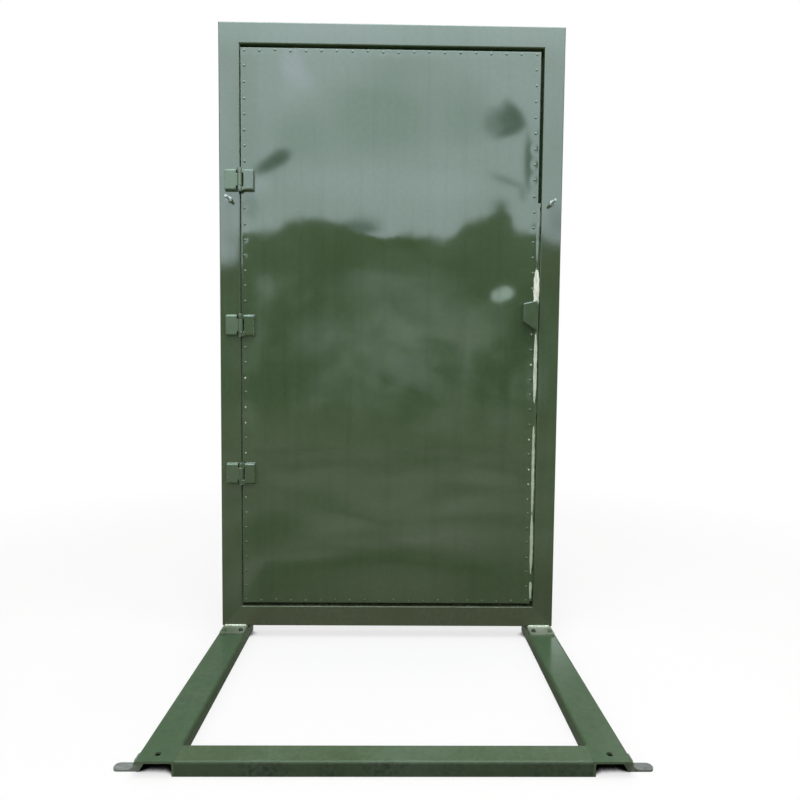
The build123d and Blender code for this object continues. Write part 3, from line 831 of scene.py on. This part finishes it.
# %% Mesh helpers
def add_piece(name, shape, material, body, smooth_angle=35.0):
    """Makes a riding piece out of a bmesh."""
    bmesh.ops.recalc_face_normals(shape, faces=shape.faces)
    mesh = bpy.data.meshes.new(name)
    shape.to_mesh(mesh)
    shape.free()
    mesh.shade_smooth()
    mesh.set_sharp_from_angle(angle=math.radians(smooth_angle))
    mesh.materials.append(material)
    piece = bpy.data.objects.new(name, mesh)
    scene.collection.objects.link(piece)
    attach(piece, body)
    return piece


def bridge(shape, first, second):
    """Joins two closed rings of equal length with quads."""
    count = len(first)
    for i in range(count):
        j = (i + 1) % count
        shape.faces.new((first[i], first[j], second[j], second[i]))


def close_skin(shape, loops):
    """Joins a row of rings and caps its two ends."""
    for first, second in zip(loops, loops[1:]):
        bridge(shape, first, second)
    shape.faces.new(loops[0])
    shape.faces.new(loops[-1])


def lathe(shape, pose, rings, segments):
    """Turns rings about the local Z of a pose. A ring gives (radius, height) for an angle."""
    loops = []
    for ring in rings:
        loop = []
        for i in range(segments):
            angle = 2 * math.pi * i / segments
            radius, height = ring(angle)
            local = Vector((radius * math.cos(angle), radius * math.sin(angle), height))
            loop.append(shape.verts.new(pose @ local))
        loops.append(loop)
    close_skin(shape, loops)


def plain_ring(radius, height):
    """A round ring."""
    return lambda angle: (radius, height)


def wobble(seed):
    """A repeatable number from -1 to 1, which looks random from one seed to the next."""
    value = math.sin(seed * 12.9898 + 4.1414) * 43758.5453
    return 2 * (value - math.floor(value)) - 1


def evenly(low, high, pitch):
    """Places from low to high, as near to the pitch as fits."""
    count = round((high - low) / pitch)
    return [low + (high - low) * i / count for i in range(count + 1)]


print("mesh helpers ready")

# %% [markdown]
# ## Where the rivets go
# The sheet is held to its tubes by a row of small rivets down both sides and along the top and bottom. They
# come before the sheet, because each rivet draws the sheet in a little. The places are worked out from the
# sheet's own box: a pitch, a distance from the edge, and a small error, since the holes were marked by
# hand. A rivet that would lie under a hinge or under the pull is left out.

# %% Rivet places
RIVET_PITCH = 50 * MM
RIVET_INSET_HINGE = 10 * MM
RIVET_INSET_LATCH = 13.5 * MM
RIVET_INSET_ENDS = 8 * MM
RIVET_ERROR_ACROSS = 0.8 * MM
RIVET_ERROR_UP = 2.0 * MM
COVER_MARGIN = 8 * MM

skin_low, skin_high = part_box("leaf_skin")
COVERS = [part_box(f"leaf_hinge_{name}") for name in LEVELS] + [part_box("pull_guard")]


def is_covered(x, z):
    """True where a fitting lies on the sheet."""
    for low, high in COVERS:
        beside = low.x - COVER_MARGIN < x < high.x + COVER_MARGIN
        if beside and low.z - COVER_MARGIN < z < high.z + COVER_MARGIN:
            return True
    return False


hinge_row, latch_row = skin_low.x + RIVET_INSET_HINGE, skin_high.x - RIVET_INSET_LATCH
bottom_row, top_row = skin_low.z + RIVET_INSET_ENDS, skin_high.z - RIVET_INSET_ENDS
marks = [(x, z) for x in (hinge_row, latch_row) for z in evenly(bottom_row, top_row, RIVET_PITCH)]
marks += [(x, z) for z in (bottom_row, top_row) for x in evenly(hinge_row, latch_row, RIVET_PITCH)[1:-1]]
rivet_places = []
for i, (x, z) in enumerate(marks):
    drilled = (x + RIVET_ERROR_ACROSS * wobble(2 * i), z + RIVET_ERROR_UP * wobble(2 * i + 1))
    if not is_covered(*drilled):
        rivet_places.append(drilled)
print("rivets:", len(rivet_places))

# %% [markdown]
# ## The sheet
# Two millimetres of steel on a tube frame is never flat. Welding and riveting leave it a little too long
# for its frame, so each field between the tubes bows in or out by about a millimetre, and the lowest one by
# a few, which sheet workers call oil canning. It hardly shows as a shape, but gloss paint turns it into
# waves of light. A bump map would be lost from the side, so the sheet is a fine grid that is really bowed:
# flat on the tubes, bowed between them, dimpled at each rivet, and rolled over at its cut edges. On the
# hinge side it was cut a little wide, which hides most of the gap.

# %% Sheet shape
RAILS = ("leaf_bottom_rail", "leaf_lower_rail", "leaf_middle_rail", "leaf_upper_rail", "leaf_top_rail")
FIELD_BOWS = (3.0 * MM, -0.8 * MM, 0.7 * MM, -0.5 * MM)
RIPPLE = 0.18 * MM
DIMPLE_DEPTH = 0.18 * MM
DIMPLE_WIDTH = 9 * MM
EDGE_ROLL = 1.4 * MM
HINGE_OVERHANG = 2.0 * MM

sheet_left = skin_low.x - HINGE_OVERHANG
field_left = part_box("leaf_hinge_stile")[1].x
field_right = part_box("leaf_latch_stile")[0].x
rail_boxes = [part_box(name) for name in RAILS]
fields = [(below[1].z, over[0].z) for below, over in zip(rail_boxes, rail_boxes[1:])]


def field_bow(x, z):
    """How far the sheet bows out of flat between its tubes."""
    if not field_left < x < field_right:
        return 0.0
    u = (x - field_left) / (field_right - field_left)
    for bow, (low, high) in zip(FIELD_BOWS, fields):
        if low < z < high:
            v = (z - low) / (high - low)
            clamp = math.sin(math.pi * u) ** 2 * math.sin(math.pi * v) ** 2
            waves = math.sin(9.0 * u + 40 * z) * math.cos(5.0 * v + 7 * u)
            lean = 1 + 0.5 * math.sin(2 * math.pi * u + 30 * low)
            return clamp * (bow * lean + RIPPLE * waves)
    return 0.0


def rivet_dimple(x, z):
    """How far the rivets near a place draw the sheet in."""
    depth = 0.0
    for rivet_x, rivet_z in rivet_places:
        square = (x - rivet_x) ** 2 + (z - rivet_z) ** 2
        if square < (3 * DIMPLE_WIDTH) ** 2:
            depth += DIMPLE_DEPTH * math.exp(-square / DIMPLE_WIDTH**2)
    return depth


def rolled_edge(x, z):
    """How far the cut edge is rolled back."""
    distance = min(x - sheet_left, skin_high.x - x, z - skin_low.z, skin_high.z - z)
    if distance >= EDGE_ROLL:
        return 0.0
    return EDGE_ROLL - math.sqrt(max(EDGE_ROLL**2 - (EDGE_ROLL - distance) ** 2, 0.0))


print("fields between tubes:", [(round(low, 3), round(high, 3)) for low, high in fields])

# %% [markdown]
# The mesh is two grids, one for the painted side and one for the side towards the tubes, joined round the
# rim. Its lines lie close together near the edges, where the rivets and the rolled edge need them, and
# further apart in the middle. A Subdivision modifier would put as many faces in the middle as at the edges.

# %% Sheet mesh
EDGE_STEPS = [MM * step for step in (0.0, 0.25, 0.8, 1.5, 4, 8, 12, 16, 20, 25, 32)]
MIDDLE_STEP_ACROSS = 13 * MM
MIDDLE_STEP_UP = 8 * MM


def grid_lines(low, high, step):
    """Lines that lie close together at both edges and evenly between."""
    inner = evenly(low + EDGE_STEPS[-1], high - EDGE_STEPS[-1], step)
    return [low + s for s in EDGE_STEPS[:-1]] + inner + [high - s for s in reversed(EDGE_STEPS[:-1])]


def grid_side(shape, columns, rows, place):
    """A grid of vertices joined by quads."""
    grid = [[shape.verts.new(place(x, z)) for x in columns] for z in rows]
    for lower, upper in zip(grid, grid[1:]):
        for i in range(len(columns) - 1):
            shape.faces.new((lower[i], lower[i + 1], upper[i + 1], upper[i]))
    return grid


def grid_rim(grid):
    """The outer ring of a grid, in order."""
    right_edge = [row[-1] for row in grid[1:-1]]
    left_edge = [row[0] for row in reversed(grid[1:-1])]
    return grid[0] + right_edge + list(reversed(grid[-1])) + left_edge


def sheet_front(x, z):
    """A point on the painted side."""
    inward = rivet_dimple(x, z) + rolled_edge(x, z) - field_bow(x, z)
    return (x, skin_low.y + inward, z)


def sheet_back(x, z):
    """A point on the side towards the tubes."""
    return (x, skin_high.y - field_bow(x, z), z)


shape = bmesh.new()
columns = grid_lines(sheet_left, skin_high.x, MIDDLE_STEP_ACROSS)
rows = grid_lines(skin_low.z, skin_high.z, MIDDLE_STEP_UP)
front = grid_side(shape, columns, rows, sheet_front)
back = grid_side(shape, columns, rows, sheet_back)
bridge(shape, grid_rim(front), grid_rim(back))
door_sheet = add_piece("door_sheet", shape, finishes["sheet"], "leaf")
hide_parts("leaf_skin")
print("sheet faces:", len(door_sheet.data.polygons))

# %% [markdown]
# ## Rivet heads
# A set rivet has a low dome with a small flat rim. Turning a five-point profile gives exactly that, and one
# mesh holds them all. The tops are rubbed: the material reads how far a point stands proud of the sheet,
# and lets the pale primer through on some of the domes, between the heights of knees and hands.

# %% Rivets
RIVET_RADIUS = 4.2 * MM
RIVET_HEIGHT = 1.4 * MM
RIVET_SINK = 0.6 * MM
RIVET_SEGMENTS = 14
RUBBED_HEIGHT = 0.80
RUBBED_HALF = 0.45
# Shares of the radius, and heights over the sheet. The first ring is sunk in it.
DOME = ((1.0, -RIVET_SINK), (1.0, 0.25 * RIVET_HEIGHT), (0.86, 0.55 * RIVET_HEIGHT),
        (0.58, 0.86 * RIVET_HEIGHT), (0.22, RIVET_HEIGHT))
OUT_OF_DOOR = Matrix(((1, 0, 0), (0, 0, -1), (0, 1, 0))).to_4x4()

rivet_paint, tree, output = new_material("olive_rivets")
where = object_place(tree)
outward, up = axes(tree, where)[1:]
proud = remap(tree, outward, skin_low.y - 0.55 * RIVET_HEIGHT, skin_low.y - RIVET_HEIGHT)
some = clouds(tree, where, 23.0, 1.0, 0.46, 0.60)
away = maths(tree, "ABSOLUTE", maths(tree, "SUBTRACT", up, RUBBED_HEIGHT))
rubbed_top = times(tree, times(tree, proud, some), remap(tree, away, RUBBED_HALF, 0.4 * RUBBED_HALF))
enamel = use_group(tree, paint_group, {
    "Place": where, "Paint": OLIVE, "Faded": OLIVE_LIGHT, "Mottle": 0.6, "Gloss": 0.14, "Peel": 0.5,
})
rivet_colour = mix_colour(tree, rubbed_top, enamel["Colour"], CREAM_PRIMER_AND_LIGHT)
finish_shader(tree, output, rivet_colour, enamel["Roughness"], enamel["Height"], PEEL_DEPTH, 0.0)

shape = bmesh.new()
dome_rings = [plain_ring(RIVET_RADIUS * share, height) for share, height in DOME]
for x, z in rivet_places:
    lathe(shape, Matrix.Translation((x, skin_low.y, z)) @ OUT_OF_DOOR, dome_rings, RIVET_SEGMENTS)
add_piece("sheet_rivets", shape, rivet_paint, "leaf", smooth_angle=60.0)
print("rivet heads:", len(rivet_places))

# %% [markdown]
# ## The lifted edge
# The closing edge has been levered. From the sill to well above the pull, the edge of the sheet is bent out
# over the gap in one long ragged lip, and in places the lip is torn and rubbed to primer, in splinters that
# taper at both ends. The primer's colour also paints the light in the gap, pale where daylight comes through
# and dark at the top where the gap is in shade. Lip and splinters are thin strips that share one outline:
# full in the middle, narrow at the ends and ragged between. They stay short of the jamb, so the leaf can
# still swing.

# %% Splinters
SPLINTER_STEP = 3 * MM
SPLINTER_THICKNESS = 0.9 * MM
SPLINTER_ROOT = 0.4 * MM
SPLINTER_SEAT = 0.15 * MM
# Lowest and highest point, root on the sheet, reach into the gap, lift off the sheet, and how blunt the
# ends are.
LIPS = ((0.130, 1.460, 1.5 * MM, 9.2 * MM, 1.0 * MM, 0.06),)
SPLINTERS = (
    (1.272, 1.450, 4.5 * MM, 3.5 * MM, 2.2 * MM, 0.35),
    (1.108, 1.252, 10 * MM, 9.0 * MM, 2.6 * MM, 0.70),
    (0.800, 1.040, 4.0 * MM, 6.5 * MM, 2.4 * MM, 0.40),
    (0.425, 0.735, 3.5 * MM, 5.5 * MM, 2.4 * MM, 0.40),
    (0.224, 0.432, 3.5 * MM, 6.0 * MM, 2.3 * MM, 0.35),
    (0.136, 0.198, 3.0 * MM, 5.5 * MM, 2.2 * MM, 0.45),
)


def splinter_section(z, low, high, root_width, longest_reach, highest_lift, bluntness):
    """The section of a splinter at one height, from its root on the sheet to its tip in the gap."""
    t = (z - low) / (high - low)
    swell = math.sin(math.pi * min(max(t, 0.02), 0.98)) ** bluntness
    notches = 0.16 * wobble(round(z / (4 * SPLINTER_STEP)))
    ragged = 1 + notches + 0.10 * math.sin(z * 73) + 0.06 * wobble(z * 900)
    reach = longest_reach * min(1.0, swell * ragged)
    root = max(root_width * swell * ragged, SPLINTER_ROOT)
    lift = highest_lift * swell * (0.85 + 0.15 * math.sin(z * 41))
    outward = [(-root, -SPLINTER_SEAT), (-0.35 * root, -0.7 * lift), (reach, -lift)]
    outer = [Vector((skin_high.x + x, skin_low.y + y, z)) for x, y in outward]
    return outer + [point + Vector((0, SPLINTER_THICKNESS, 0)) for point in reversed(outer)]


def torn_strips(name, strips, material):
    """A piece made of thin ragged strips along the closing edge."""
    shape = bmesh.new()
    for strip in strips:
        heights = evenly(strip[0], strip[1], SPLINTER_STEP)
        close_skin(shape, [[shape.verts.new(p) for p in splinter_section(z, *strip)] for z in heights])
    return add_piece(name, shape, material, "leaf")


torn_strips("bent_lip", LIPS, finishes["sheet"])
torn_strips("lifted_edge", SPLINTERS, primer_and_gap_light)
print("strips along the closing edge:", len(LIPS) + len(SPLINTERS))

# %% [markdown]
# ## Weld beads
# Blocks, plates and tubes are joined by hand welding, which leaves a bead like a row of overlapping coins.
# A bead is a tube along a path whose radius swells and shrinks with every drop of metal. The path lies in
# the corner between two pieces, so half of the tube is buried and the rest shows as a fillet.

# %% Bead maker
BEAD_STEP = 1.6 * MM
DROP_LENGTH = 4.8 * MM
BEAD_SIDES = 8
BEAD_FLATNESS = 0.72


def bead_points(path):
    """Places along a path of straight runs, close enough to show each drop."""
    places = []
    for start, end in zip(path, path[1:]):
        count = max(2, round((end - start).length / BEAD_STEP))
        places += [start.lerp(end, i / count) for i in range(count)]
    return places + [path[-1]]


def weld_bead(shape, corners, out, radius, seed=0.0):
    """A rippled bead along a path. Out is the way it faces."""
    places = bead_points([Vector(corner) for corner in corners])
    out = Vector(out).normalized()
    last = len(places) - 1
    walked = 0.0
    loops = []
    for i, place in enumerate(places):
        before = places[max(i - 1, 0)]
        side = (places[min(i + 1, last)] - before).normalized().cross(out).normalized()
        walked += (place - before).length
        drop = abs(math.sin(math.pi * walked / DROP_LENGTH + seed))
        end_taper = min(1.0, 0.45 + 0.3 * min(i, last - i))
        size = radius * end_taper * (0.80 + 0.20 * drop + 0.06 * wobble(i + seed))
        loop = []
        for k in range(BEAD_SIDES):
            angle = 2 * math.pi * k / BEAD_SIDES
            offset = BEAD_FLATNESS * size * math.cos(angle) * out + size * math.sin(angle) * side
            loop.append(shape.verts.new(place + offset))
        loops.append(loop)
    close_skin(shape, loops)


print("bead step", BEAD_STEP / MM, "mm")

# %% [markdown]
# On the frame, beads run round the outer sides of the jamb blocks, along the feet in front of the jambs, up
# the inner corners where the beam meets the arms, and as short tacks along the stop bars. On the leaf, they
# run round the leaf blocks, and at the back where every cross tube meets a stile.

# %% Welds
HINGE_BEAD = 2.2 * MM
FOOT_BEAD = 5.2 * MM
CORNER_BEAD = 5.0 * MM
CORNER_START = 1 * MM
CORNER_STOP = 4 * MM
TUBE_BEAD = 2.6 * MM
BEAD_INSET = 3 * MM
TACK_LENGTH = 28 * MM
TACK_PITCH = 260 * MM
JAMB_BLOCK = 36 * MM
LEAF_BLOCK = 32 * MM
FRONT, REAR = (0, -1, 0), (0, 1, 0)
# The jamb of each side, the corner of the beam's box that meets the arm, and the way along X that it faces.
STAND_SIDES = {"left": ("hinge_jamb", 0, 1), "right": ("latch_jamb", 1, -1)}
# The corner of each stop bar's box that is tacked, the axis that it lies along, and where the tacks start.
STOP_TACKS = {
    "stop_hinge_side": (0, 2, 60 * MM),
    "stop_latch_side": (1, 2, 60 * MM),
    "stop_head": (1, 0, 80 * MM),
    "stop_sill": (0, 0, 80 * MM),
}


def block_path(inner, outer, low, high):
    """The way round three sides of a hinge block, on the face of the door."""
    return [(x, skin_low.y, z) for x, z in ((inner, high), (outer, high), (outer, low), (inner, low))]


foot_shape = bmesh.new()
shape = bmesh.new()
for name in LEVELS:
    low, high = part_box(f"jamb_hinge_{name}")
    weld_bead(shape, block_path(low.x + JAMB_BLOCK, low.x, low.z, high.z), FRONT, HINGE_BEAD, high.z)
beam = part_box("stand_beam")
for side, (jamb, corner, way) in STAND_SIDES.items():
    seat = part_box(jamb)[0]
    plate_low, plate_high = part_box(f"foot_plate_{side}")
    ends = [(x, seat.y, seat.z) for x in (plate_low.x + BEAD_INSET, plate_high.x - BEAD_INSET)]
    weld_bead(foot_shape, ends, FRONT, FOOT_BEAD, plate_low.x)
    x = beam[corner].x
    ends = [(x, beam[1].y, z) for z in (CORNER_START, beam[1].z - CORNER_STOP)]
    weld_bead(shape, ends, (way, 1, 0), CORNER_BEAD, x)
for name, (corner, axis, inset) in STOP_TACKS.items():
    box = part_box(name)
    for i, middle in enumerate(evenly(box[0][axis] + inset, box[1][axis] - inset, TACK_PITCH)):
        ends = [Vector((box[corner].x, box[1].y, box[corner].z)) for _ in range(2)]
        ends[0][axis] = middle - TACK_LENGTH / 2
        ends[1][axis] = middle + TACK_LENGTH / 2
        weld_bead(shape, ends, REAR, TUBE_BEAD, i)
frame_welds = add_piece("frame_welds", shape, finishes["blocks"], "frame", smooth_angle=70.0)

shape = bmesh.new()
for name in LEVELS:
    low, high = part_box(f"leaf_hinge_{name}")
    weld_bead(shape, block_path(high.x - LEAF_BLOCK, high.x, low.z, high.z), FRONT, HINGE_BEAD, low.z)
for rail_low, rail_high in rail_boxes:
    for x in (rail_low.x, rail_high.x):
        ends = [(x, rail_high.y, z) for z in (rail_low.z + BEAD_INSET, rail_high.z - BEAD_INSET)]
        weld_bead(shape, ends, REAR, TUBE_BEAD, x + rail_low.z)
leaf_welds = add_piece("leaf_welds", shape, finishes["blocks"], "leaf", smooth_angle=70.0)
add_piece("foot_welds", foot_shape, pale_foot_weld, "frame", smooth_angle=70.0)
print("weld faces:", len(frame_welds.data.polygons) + len(leaf_welds.data.polygons))

# %% [markdown]
# ## Bolts
# Two zinc studs stand out of the jambs for a brace, each held by a nut, and four black bolts hold the feet
# to the arms. Close to, a bolt is known by three things: the flats of its hexagon, the chamfer that turns
# the corners of the hexagon into small arcs, and its thread. All three are rings of the lathe whose radius
# or height changes with the angle.

# %% Bolt maker
HEX_SEGMENTS = 48
THREAD_SEGMENTS = 24
THREAD_STEPS = 6
CHAMFER_SLOPE = 0.58
CHAMFER_START = 0.49
HEX_FACE = 0.46
WASHER_RIM = 0.3 * MM


def hex_ring(flats, height, towards):
    """A ring on a hexagon's side, cut back to a cone at the corners. Towards is the way the cone falls."""
    sector = math.pi / 3

    def ring(angle):
        radius = flats / 2 / math.cos((angle % sector) - sector / 2)
        return radius, height + towards * CHAMFER_SLOPE * (radius - CHAMFER_START * flats)
    return ring


def add_hex(shape, pose, flats, low, high):
    """A chamfered nut or head between two heights."""
    bottom, top = (plain_ring(HEX_FACE * flats, height) for height in (low, high))
    lathe(shape, pose, [bottom, hex_ring(flats, low, 1), hex_ring(flats, high, -1), top], HEX_SEGMENTS)


def thread_ring(crest, depth, pitch, height):
    """A ring of a thread, which climbs by its pitch in one turn."""
    def ring(angle):
        phase = (height / pitch - angle / (2 * math.pi)) % 1.0
        return crest - depth * abs(2 * phase - 1), height
    return ring


def add_thread(shape, pose, crest, depth, pitch, low, high):
    """A threaded shank between two heights."""
    heights = evenly(low, high, pitch / THREAD_STEPS)
    lathe(shape, pose, [thread_ring(crest, depth, pitch, h) for h in heights], THREAD_SEGMENTS)


def add_washer(shape, pose, radius, low, high):
    """A flat washer with softened rims."""
    face = radius - WASHER_RIM
    profile = ((face, low), (radius, low + WASHER_RIM), (radius, high - WASHER_RIM), (face, high))
    lathe(shape, pose, [plain_ring(*step) for step in profile], HEX_SEGMENTS)


print("bolt parts ready")

# %% [markdown]
# Each stud is a washer, a nut, a thread and a tip on one axis, and takes the place of the plain stud of the
# solids. The bolts of the feet show only a washer and a head. Heads never come tight at one angle, so the
# two of a pair are turned differently.

# %% Bolts
BRACE_FLATS = 16 * MM
BRACE_NUT = 10 * MM
BRACE_CREST = 5 * MM
BRACE_TIP = 1.2 * MM
THREAD_PITCH = 1.5 * MM
THREAD_DEPTH = 0.85 * MM
THREAD_OVERLAP = 2 * MM
WASHER_RADIUS = 9.0 * MM
WASHER_THICKNESS = 1.8 * MM
FOOT_FLATS = 12 * MM
FOOT_HEAD = 5 * MM
FOOT_WASHER_RADIUS = 7.4 * MM
FOOT_HOLE_FROM_EDGE = 13 * MM
FOOT_HOLE_FROM_FRONT = 18 * MM
# How far each head was turned when it came tight, in degrees.
BRACE_TURNS = {"left": 12.0, "right": 25.0}
FOOT_TURNS = (17.0, 48.0)


def turned(degrees):
    """A turn about the axis of a bolt."""
    return Matrix.Rotation(math.radians(degrees), 4, "Z")


for side, degrees in BRACE_TURNS.items():
    low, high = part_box(f"brace_bolt_{side}")
    middle = (low + high) / 2
    pose = Matrix.Translation((middle.x, high.y, middle.z)) @ OUT_OF_DOOR @ turned(degrees)
    length = high.y - low.y
    core = BRACE_CREST - THREAD_DEPTH
    shape = bmesh.new()
    add_washer(shape, pose, WASHER_RADIUS, 0.0, WASHER_THICKNESS)
    add_hex(shape, pose, BRACE_FLATS, WASHER_THICKNESS, BRACE_NUT)
    thread_ends = (BRACE_NUT - THREAD_OVERLAP, length - BRACE_TIP)
    add_thread(shape, pose, BRACE_CREST, THREAD_DEPTH, THREAD_PITCH, *thread_ends)
    tip = ((core, length - 2 * BRACE_TIP), (core, length - BRACE_TIP / 2), (core - BRACE_TIP / 2, length))
    lathe(shape, pose, [plain_ring(*step) for step in tip], THREAD_SEGMENTS)
    bolt = add_piece(f"hex_bolt_{side}", shape, zinc, "frame", smooth_angle=25.0)
    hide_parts(f"brace_bolt_{side}")
    print(bolt.name, len(bolt.data.polygons), "faces")

shape = bmesh.new()
for side in STAND_SIDES:
    low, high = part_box(f"foot_plate_{side}")
    for x, degrees in zip((low.x + FOOT_HOLE_FROM_EDGE, high.x - FOOT_HOLE_FROM_EDGE), FOOT_TURNS):
        pose = Matrix.Translation((x, low.y + FOOT_HOLE_FROM_FRONT, high.z)) @ turned(degrees)
        add_washer(shape, pose, FOOT_WASHER_RADIUS, 0.0, WASHER_THICKNESS)
        add_hex(shape, pose, FOOT_FLATS, WASHER_THICKNESS, WASHER_THICKNESS + FOOT_HEAD)
foot_bolts = add_piece("foot_bolts", shape, black_bolt, "frame", smooth_angle=25.0)
print("foot bolts:", len(foot_bolts.data.polygons), "faces")
